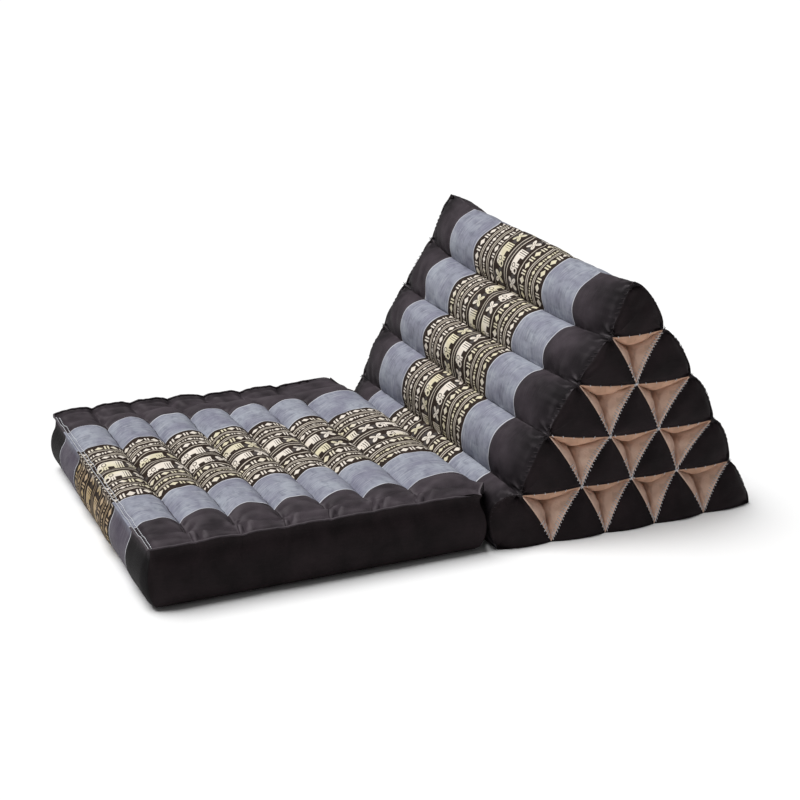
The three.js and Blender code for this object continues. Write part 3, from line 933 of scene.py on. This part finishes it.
def seam_stitches(line, limit, step, rng, up):
    """One row of stitches along a line of the mat's top, as far as limit to each side of the middle."""
    lines = []
    for start in np.arange(-limit, limit, step):
        shift = np.array([0, 0, rng.uniform(0.3, 0.5)])
        a, b = [point_on(line, line[:, 1], at) + shift for at in (start, start + 0.78 * step)]
        lines.append((a, b, up))
    return lines


def make_threads(tubes, top, pale, dark, white):
    rng = np.random.default_rng(5)
    for end, name in ((-1, "near"), (1, "far")):
        dark_knots, pale_knots = knots(end, rng)
        whips = whip_stitches(end, rng) + pale_knots
        loops = cap_loops(end, tubes, rng) + dark_knots
        thread_piece(f"whip_stitches_{name}", whips, 0.6, pale)
        thread_piece(f"cap_loops_{name}", loops, 0.45, dark)
    edge, channels = [], []
    middle = top[:, top.shape[1] // 2, 0]
    for off in EDGE_SEAM["rows"]:
        row = np.argmin(np.abs(middle - middle[0] - off))
        edge += seam_stitches(top[row], EDGE_SEAM["limit"], EDGE_SEAM["step"], rng, (-0.3, 0, 1.0))
    thread_piece("mat_top_stitches", edge, 0.48, white)
    for row in top[CHANNEL_STEPS:-1:CHANNEL_STEPS]:
        channels += seam_stitches(row, CHANNEL_SEAM["limit"], CHANNEL_SEAM["step"], rng, (0, 0, 1.0))
    thread_piece("mat_channel_stitches", channels, 0.5, dark)


# Procedural materials

def node_method(operation):
    """A method of Field that adds one math node."""
    return lambda self, *others: self.node(operation, *others)


class Field:
    """A number that varies over a surface, worked out by shader nodes."""

    __add__, __sub__ = node_method("ADD"), node_method("SUBTRACT")
    __mul__, __truediv__ = node_method("MULTIPLY"), node_method("DIVIDE")
    __abs__, sine = node_method("ABSOLUTE"), node_method("SINE")
    least, most = node_method("MINIMUM"), node_method("MAXIMUM")

    def __init__(self, tree, socket):
        self.tree, self.socket = tree, socket

    def node(self, operation, *others):
        made = self.tree.nodes.new("ShaderNodeMath")
        made.operation = operation
        for slot, value in zip(made.inputs, (self, *others)):
            if isinstance(value, Field):
                self.tree.links.new(value.socket, slot)
            else:
                slot.default_value = value
        return Field(self.tree, made.outputs[0])

    def __neg__(self):
        return self * -1.0

    def repeat(self, period):
        """The distance from the nearest multiple of the period, with its sign."""
        return (self + period / 2).node("FLOORED_MODULO", period) - period / 2

    def below(self, limit, softness=0.25):
        """1 where the value is under the limit, 0 above it, with a soft edge."""
        made = self.tree.nodes.new("ShaderNodeMapRange")
        made.interpolation_type = "SMOOTHSTEP"
        self.tree.links.new(self.socket, made.inputs["Value"])
        ends = {"From Min": limit - softness, "From Max": limit + softness, "To Min": 1.0, "To Max": 0.0}
        for name, value in ends.items():
            made.inputs[name].default_value = value
        return Field(self.tree, made.outputs["Result"])


def box_shape(x, y, cx, cy, half_x, half_y):
    return (abs(x - cx) - half_x).most(abs(y - cy) - half_y)


def oval_shape(x, y, cx, cy, half_x, half_y):
    dx, dy = (x - cx) / half_x, (y - cy) / half_y
    return ((dx * dx + dy * dy).node("SQRT") - 1.0) * min(half_x, half_y)


def lozenge_shape(x, y, cx, cy, half_x, half_y):
    return (abs(x - cx) / half_x + abs(y - cy) / half_y - 1.0) * (0.7 * min(half_x, half_y))


def union(*shapes):
    total = shapes[0]
    for shape in shapes[1:]:
        total = total.least(shape)
    return total


class Cloth:
    """One material's node tree with the parts that every cloth here shares."""

    def __init__(self, name, roughness):
        self.material = bpy.data.materials.new(name)
        self.material.use_nodes = True
        self.tree = self.material.node_tree
        self.new, self.link = self.tree.nodes.new, self.tree.links.new
        self.shader = self.tree.nodes["Principled BSDF"]
        self.shader.inputs["Roughness"].default_value = roughness
        self.shader.inputs["Specular IOR Level"].default_value = 0.12
        source, wear = self.new("ShaderNodeUVMap"), self.new("ShaderNodeAttribute")
        source.uv_map = "cloth"
        wear.attribute_name = "wear"
        split = self.new("ShaderNodeSeparateXYZ")
        self.uv = source.outputs["UV"]
        self.link(self.uv, split.inputs[0])
        self.wear = Field(self.tree, wear.outputs["Fac"])
        self.along, self.across = [Field(self.tree, split.outputs[axis]) for axis in "XY"]

    def noise(self, scale_along, scale_across, detail=2.0, offset=0.0):
        """Noise whose grains are stretched to the two given lengths in millimetres."""
        mapping = self.new("ShaderNodeMapping")
        self.link(self.uv, mapping.inputs["Vector"])
        mapping.inputs["Scale"].default_value = (1 / scale_along, 1 / scale_across, 1.0)
        mapping.inputs["Location"].default_value = (offset, offset * 0.7, 0.0)
        made = self.new("ShaderNodeTexNoise")
        made.noise_dimensions = "2D"
        made.inputs["Scale"].default_value = 1.0
        made.inputs["Detail"].default_value = detail
        self.link(mapping.outputs["Vector"], made.inputs["Vector"])
        return Field(self.tree, made.outputs["Fac"])

    def colour_mix(self, a, b, share, blend="MIX"):
        made = self.new("ShaderNodeMix")
        made.data_type, made.blend_type = "RGBA", blend
        self.link(share.socket, made.inputs["Factor"])
        for value, slot in ((a, made.inputs["A"]), (b, made.inputs["B"])):
            if isinstance(value, tuple):
                slot.default_value = (*value, 1.0)
            else:
                self.link(value, slot)
        return made.outputs["Result"]

    def weave(self, pitch=0.9):
        """Plain weave: two crossed sets of threads with uneven thickness."""
        warp = (self.along * (2 * math.pi / pitch)).sine()
        weft = (self.across * (2 * math.pi / pitch)).sine()
        slub = self.noise(26, 1.2, 1, 3.1) + self.noise(1.2, 26, 1, 8.3)
        return (warp * weft) * 0.25 + slub

    def finish(self, colour, height, distance=0.25):
        self.link(colour, self.shader.inputs["Base Color"])
        bump = self.new("ShaderNodeBump")
        bump.inputs["Strength"].default_value = 0.6
        bump.inputs["Distance"].default_value = distance * MM
        self.link(height.socket, bump.inputs["Height"])
        self.link(bump.outputs["Normal"], self.shader.inputs["Normal"])
        return self.material


# The brocade's bands, by distance from the middle line in millimetres
BAND = dict(
    centre=3.0, animals=18.6, c_inner=34.3, c=43.5, c_outer=52.4, b_inner=55.6, b=62.5, b_outer=69.4,
    a_inner=72.4, a=81.3,
)
LINES = ("centre", "c_inner", "c_outer", "b_inner", "b_outer", "a_inner")
REPEAT = 62.0
SMALL_REPEAT = REPEAT / 3
TINY_REPEAT = REPEAT / 4


def elephant(x, y):
    """A walking elephant seen from the side, head towards -x and feet towards -y."""
    body = box_shape(x, y, 3.6, -0.2, 11.8, 8.4) - 0.8
    belly = box_shape(x, y, 0.2, -7.2, 4.0, 3.6)
    head = oval_shape(x, y, -11.2, 3.0, 4.8, 5.6)
    curl = abs(oval_shape(x, y, -14.0, -4.8, 3.5, 3.8)) - 1.0
    trunk = box_shape(x, y, -16.6, -1.2, 1.0, 3.6)
    whole = union(body.most(-belly), head, curl, trunk)
    stripes = abs((x - 14.0).repeat(3.1)) - 0.55
    stripes = stripes.most(box_shape(x, y, 12.4, -2.2, 4.6, 7.8))
    toes = (abs(x + 6.2) - 0.45).most(abs(y + 7.4) - 3.0)
    ear = abs(oval_shape(x, y, -7.4, 2.6, 2.6, 3.8)) - 0.5
    eye = oval_shape(x, y, -12.6, 4.2, 0.8, 0.8)
    return whole.most(-union(stripes, toes, ear, eye))


def flower(x, y):
    """Four petals in an X, with a small heart and notched tips."""
    near, far = (x + y) * 0.7071, (x - y) * 0.7071
    petals = union(*[oval_shape(abs(a), b, 6.0, 0.0, 4.8, 2.8) for a, b in ((near, far), (far, near))])
    veins = union(abs(near) - 0.3, abs(far) - 0.3).most(oval_shape(x, y, 0.0, 0.0, 7.0, 7.0))
    return union(petals.most(-veins), lozenge_shape(x, y, 0.0, 0.0, 2.2, 2.2))


def band_rows(cloth):
    """The narrow rows between the animals and the edge: lozenges, bars and pairs of dots."""
    x, d = cloth.along, abs(cloth.across)
    small, tiny = x.repeat(SMALL_REPEAT), x.repeat(TINY_REPEAT)
    bars = abs(abs((x - SMALL_REPEAT / 2).repeat(SMALL_REPEAT)) - 2.0) - 1.05
    dots = abs(abs((x - TINY_REPEAT / 2).repeat(TINY_REPEAT)) - 1.7) - 0.95
    rows = [lozenge_shape(tiny, d, 0.0, BAND["b"], 4.4, 2.8), dots.most(abs(d - BAND["b"]) - 1.7)]
    for middle in (BAND["c"], BAND["a"]):
        rows.append(lozenge_shape(small, d, 0.0, middle, 5.6, 4.6))
        rows.append(bars.most(abs(d - middle) - 4.4))
    return union(*rows)


def brocade_parts(cloth):
    """Three covers of 0 to 1: cream figures, cream lines, and the dim shapes behind the flowers."""
    x, p = cloth.along, cloth.across
    d = abs(p)
    in_band = p - p.node("SIGN") * BAND["animals"]
    inside = abs(d - BAND["animals"]) - 14.0
    blossom_x = (x - 50.0).repeat(REPEAT)
    animals = union(elephant((x - 20.0).repeat(REPEAT), in_band), flower(blossom_x, in_band))
    figures = union(animals.most(inside), band_rows(cloth))
    lines = union(*[abs(d - BAND[at]) - 0.62 for at in LINES])
    rope = (abs((x + p * 1.2).repeat(3.2)) - 0.7).most(d - 1.5)
    leaves = box_shape(abs(blossom_x), in_band, 9.0, -3.4, 3.4, 4.4)
    dim = union(leaves, box_shape(blossom_x, in_band, 0.0, 9.0, 5.0, 2.6)).most(inside)
    return figures.below(0.0, 0.3), lines.below(0.0, 0.25), union(dim, rope).below(0.0, 0.4)


def patchwork_material(name, painted_lightness_at_ends, painted_lightness_on_wall):
    """The sewn strips: brocade in the middle, blue beside it and black outside.

    The two depths set the black's painted shade near the ends of the width and on an upright wall; lower is
    darker.
    """
    cloth = Cloth(name, 0.72)
    mixed, d, on_brocade = cloth.colour_mix, abs(cloth.across), abs(cloth.across).below(BROCADE_HALF, 0.3)
    figures, lines, dim = brocade_parts(cloth)
    mottle = cloth.noise(9, 14, 4)
    hatch = (cloth.along * 3.4 + cloth.across * 2.2).sine() * 0.5 + 0.5
    cream = mixed((0.70, 0.63, 0.54), (0.93, 0.87, 0.79), mottle)
    cream = mixed(cream, (0.56, 0.49, 0.42), hatch * 0.4)
    gold = mixed((0.50, 0.45, 0.25), (0.76, 0.70, 0.42), mottle)
    figure_colour = mixed(cream, gold, cloth.noise(60, 60, 1, 5.0).below(0.42, 0.10) * 0.6)
    line_colour = mixed((0.52, 0.45, 0.37), (0.80, 0.73, 0.62), mottle)
    ground = mixed((0.016, 0.010, 0.007), (0.040, 0.026, 0.020), mottle)
    ground = mixed(ground, (0.075, 0.066, 0.064), dim * 0.8)
    brocade = mixed(mixed(ground, line_colour, lines), figure_colour, figures)
    # Painted shade: the mat's upright free-end wall is darkened, brocade and blue alike
    painted_wall_shade_mask = cloth.along.below(-12.0, 7.0)
    brocade = mixed(brocade, (0.54, 0.44, 0.32), painted_wall_shade_mask, "MULTIPLY")
    blue = mixed(blue_colour(cloth), (0.36, 0.31, 0.32), painted_wall_shade_mask, "MULTIPLY")
    strips = mixed(blue, brocade, on_brocade)
    # Painted shade: the black darkens towards the ends of the width and on the upright wall
    painted_black_shade = (-d).below(-216.0, 30.0) * (1.0 - painted_lightness_at_ends)
    painted_black_shade = painted_black_shade.most(painted_wall_shade_mask * (1.0 - painted_lightness_on_wall))
    black = mixed(black_colour(cloth, 1.0), black_colour(cloth, 0.0), painted_black_shade)
    # Painted highlight: the black's fold crests are tinted pale, as sheen
    black = mixed(black, (0.155, 0.138, 0.148), cloth.wear.most(0.0) * 0.55)
    strips = mixed(strips, black, (-d).below(-BLUE_HALF, 0.4))
    edges = union(abs(d - BROCADE_HALF) - 0.7, abs(d - BLUE_HALF) - 0.6)
    strips = mixed(strips, (0.60, 0.61, 0.65), edges.below(0.0, 0.35))
    strips = mixed(strips, (0.02, 0.018, 0.02), (abs(cloth.along + 1.1) - 0.7).below(0.0, 0.3))
    # Painted shade: creases between folds are darkened
    strips = mixed(strips, (0.45, 0.43, 0.45), (-cloth.wear).most(0.0) * 0.6, "MULTIPLY")
    height = cloth.weave() + figures * on_brocade * 0.9 + lines * 0.5
    return cloth.finish(strips, height, 0.3)


def blue_colour(cloth):
    """Slubby blue-grey cotton: a slow wash, fine streaks across the strip and small dark flecks."""
    wash = cloth.noise(34, 48, 3, 2.0)
    patch = cloth.noise(9, 16, 4, 6.0)
    thread = cloth.noise(30, 1.2, 2, 4.0)
    slub = cloth.noise(16, 1.8, 3, 7.0)
    base = cloth.colour_mix((0.205, 0.205, 0.265), (0.325, 0.345, 0.395), (wash - 0.32) * 2.6)
    base = cloth.colour_mix(base, (0.150, 0.155, 0.200), (patch - 0.5).most(0.0) * 2.6)
    base = cloth.colour_mix(base, (0.45, 0.46, 0.50), (thread - 0.5).most(0.0) * 2.0)
    return cloth.colour_mix(base, (0.12, 0.125, 0.17), (slub - 0.55).most(0.0) * 2.6)


def black_colour(cloth, depth):
    """Black cotton with cloudy brown and violet patches; a lower depth paints shade on it, darker and
    warmer.
    """
    mottle = cloth.noise(38, 38, 4, 9.0)
    slub = cloth.noise(24, 1.0, 2, 6.0)
    green, blue = 0.60 + 0.20 * depth, 0.68 + 0.26 * depth
    shades = [(red, red * green, red * blue) for red in (0.025 * depth, 0.062 * depth, 0.09 * depth)]
    base = cloth.colour_mix(shades[0], shades[1], (mottle - 0.3) * 2.2)
    return cloth.colour_mix(base, shades[2], (slub - 0.52).most(0.0) * 0.8)


def shaded_black_material():
    cloth = Cloth("black_cloth_painted_shade", 0.7)
    # Depth 0.3 paints shade: the upright caps and mat side walls are darker than the black on top
    return cloth.finish(black_colour(cloth, 0.3), cloth.weave(), 0.2)


def tan_material(name, low, high):
    cloth = Cloth(name, 0.85)
    base = cloth.colour_mix(low, high, cloth.noise(16, 12, 4, 1.0) * 1.4 - 0.2)
    spots = (cloth.noise(13, 9, 5, 6.0) - 0.52).most(0.0) * 2.2
    base = cloth.colour_mix(base, tuple(0.62 * c for c in low), spots.least(0.36))
    return cloth.finish(base, cloth.noise(9, 7, 3, 4.0) * 3.0 + cloth.weave() * 0.5, 0.6)


def thread_material(name, colour):
    """Twisted thread: fine slanting ridges along each stitch."""
    cloth = Cloth(name, 0.8)
    twist = (cloth.along * 4.5 + cloth.across * 1.05).sine()
    # Painted shade: the grooves between the twist's ridges are darker
    shade = cloth.colour_mix(tuple(0.72 * c for c in colour), colour, twist * 0.5 + 0.5)
    return cloth.finish(shade, twist, 0.12)


# Camera, light and floor

CAMERA = dict(
    at=(-379.2, -1834.7, 792.7), yaw=0.404114, pitch=0.327401, roll=-0.008192, lens=72.63, sensor=36.0
)
KEY_LIGHT = dict(towards=(0.34, -0.14, -1.0), angle=40, energy=3.5)
FLOOR = dict(reach=200.0, shade=(0.88, 0.88, 0.88, 1), roughness=0.9)
SKY_STRENGTH = 0.16


def aim(thing, right, up, ahead, at):
    thing.matrix_world = Matrix([*zip(right, up, -ahead, at), (0, 0, 0, 1)])


def make_camera():
    """The photograph's view: heading from +Y towards +X, looking down, with a slight roll."""
    yaw, pitch, roll = CAMERA["yaw"], CAMERA["pitch"], CAMERA["roll"]
    ahead = np.array([math.sin(yaw) * math.cos(pitch), math.cos(yaw) * math.cos(pitch), -math.sin(pitch)])
    level = np.array([math.cos(yaw), -math.sin(yaw), 0.0])
    above = np.cross(level, ahead)
    right = math.cos(roll) * level + math.sin(roll) * above
    up = -math.sin(roll) * level + math.cos(roll) * above
    data = bpy.data.cameras.new("camera")
    data.lens, data.sensor_width = CAMERA["lens"], CAMERA["sensor"]
    camera = linked("camera", data)
    aim(camera, right, up, ahead, (np.array(CAMERA["at"]) + np.array([ORIGIN_X, 0, 0])) * MM)
    bpy.context.scene.camera = camera


def make_studio():
    material = bpy.data.materials.new("pale_floor")
    material.use_nodes = True
    shader = material.node_tree.nodes["Principled BSDF"]
    shader.inputs["Base Color"].default_value = FLOOR["shade"]
    shader.inputs["Roughness"].default_value = FLOOR["roughness"]
    mesh = bpy.data.meshes.new("floor")
    corners = [(x * FLOOR["reach"], y * FLOOR["reach"], 0) for x, y in ((-1, -1), (1, -1), (1, 1), (-1, 1))]
    mesh.from_pydata(corners, [], [(0, 1, 2, 3)])
    mesh.materials.append(material)
    floor = linked("floor", mesh)
    sun = bpy.data.lights.new("key", "SUN")
    sun.angle, sun.energy = math.radians(KEY_LIGHT["angle"]), KEY_LIGHT["energy"]
    ahead = np.array(KEY_LIGHT["towards"]) / np.linalg.norm(KEY_LIGHT["towards"])
    side = np.cross(ahead, (0, 1, 0))
    side /= np.linalg.norm(side)
    aim(linked("key", sun), side, np.cross(side, ahead), ahead, (0, 0, 0))
    world = bpy.data.worlds.new("studio")
    world.use_nodes = True
    world.node_tree.nodes["Background"].inputs["Color"].default_value = (1, 1, 1, 1)
    world.node_tree.nodes["Background"].inputs["Strength"].default_value = SKY_STRENGTH
    bpy.context.scene.world = world
    bpy.context.scene.view_settings.view_transform = "Standard"


def outer_sides(tubes):
    return [side for sides in tubes.values() for side in sides if side["kind"] in OUTER]


def build():
    make_camera()
    make_studio()
    # Each copy sets the black's painted shade: at the ends of the width, then on an upright wall
    roll_cloth = patchwork_material("roll_patchwork", 0.34, 0.34)
    mat_cloth = patchwork_material("mat_patchwork", 1.0, 0.12)
    black = shaded_black_material()
    # Three copies of one tan with painted light: shade under the top lip, half shade on the left, light on
    # the right
    tan_painted_underside_shade = tan_material("tan_cloth_painted_shade_underside", (0.49, 0.285, 0.19), (0.62, 0.395, 0.285))
    tan_painted_left_half_shade = tan_material("tan_cloth_painted_half_shade_left", (0.60, 0.40, 0.31), (0.76, 0.56, 0.46))
    tan_painted_right_light = tan_material("tan_cloth_painted_light_right", (0.78, 0.53, 0.40), (0.90, 0.68, 0.56))
    pale = thread_material("pale_thread", (0.70, 0.68, 0.70))
    dark = thread_material("dark_thread", (0.045, 0.038, 0.041))
    white = thread_material("white_thread", (0.80, 0.82, 0.86))
    y = stations()
    spots = [(row, place) for row in range(1, ROWS + 1) for place in range(1, row + 1)]
    tubes = {spot: tube_grids(*spot, y) for spot in spots}
    mat = mat_points(y)
    # The cloth simulation takes every other line of each grid; the mat's is turned to face up
    rolls = [side["points"][::2] for side in outer_sides(tubes)]
    quilt = mat["top"][::-2]
    seams = range(0, len(quilt), CHANNEL_STEPS // 2)
    grids = [(roll, seam_held(roll)) for roll in rolls] + [(quilt, seam_held(quilt, seams))]
    *roll_wrinkles, mat_wrinkles = billow(grids)
    for side, own in zip(outer_sides(tubes), roll_wrinkles):
        side["wrinkles"] = refined(own, side["points"].shape[:2])
    top = make_mat(mat, y, refined(mat_wrinkles[::-1], mat["top"].shape[:2]), [mat_cloth, black])
    for (row, place), sides in tubes.items():
        make_tube(row, place, sides, y, [roll_cloth, black])
    for row, place in spots:
        if place < row:
            for end in (-1, 1):
                make_pocket(row, place, end, [tan_painted_underside_shade, tan_painted_left_half_shade, tan_painted_right_light])
    make_threads(tubes, top, pale, dark, white)


build()
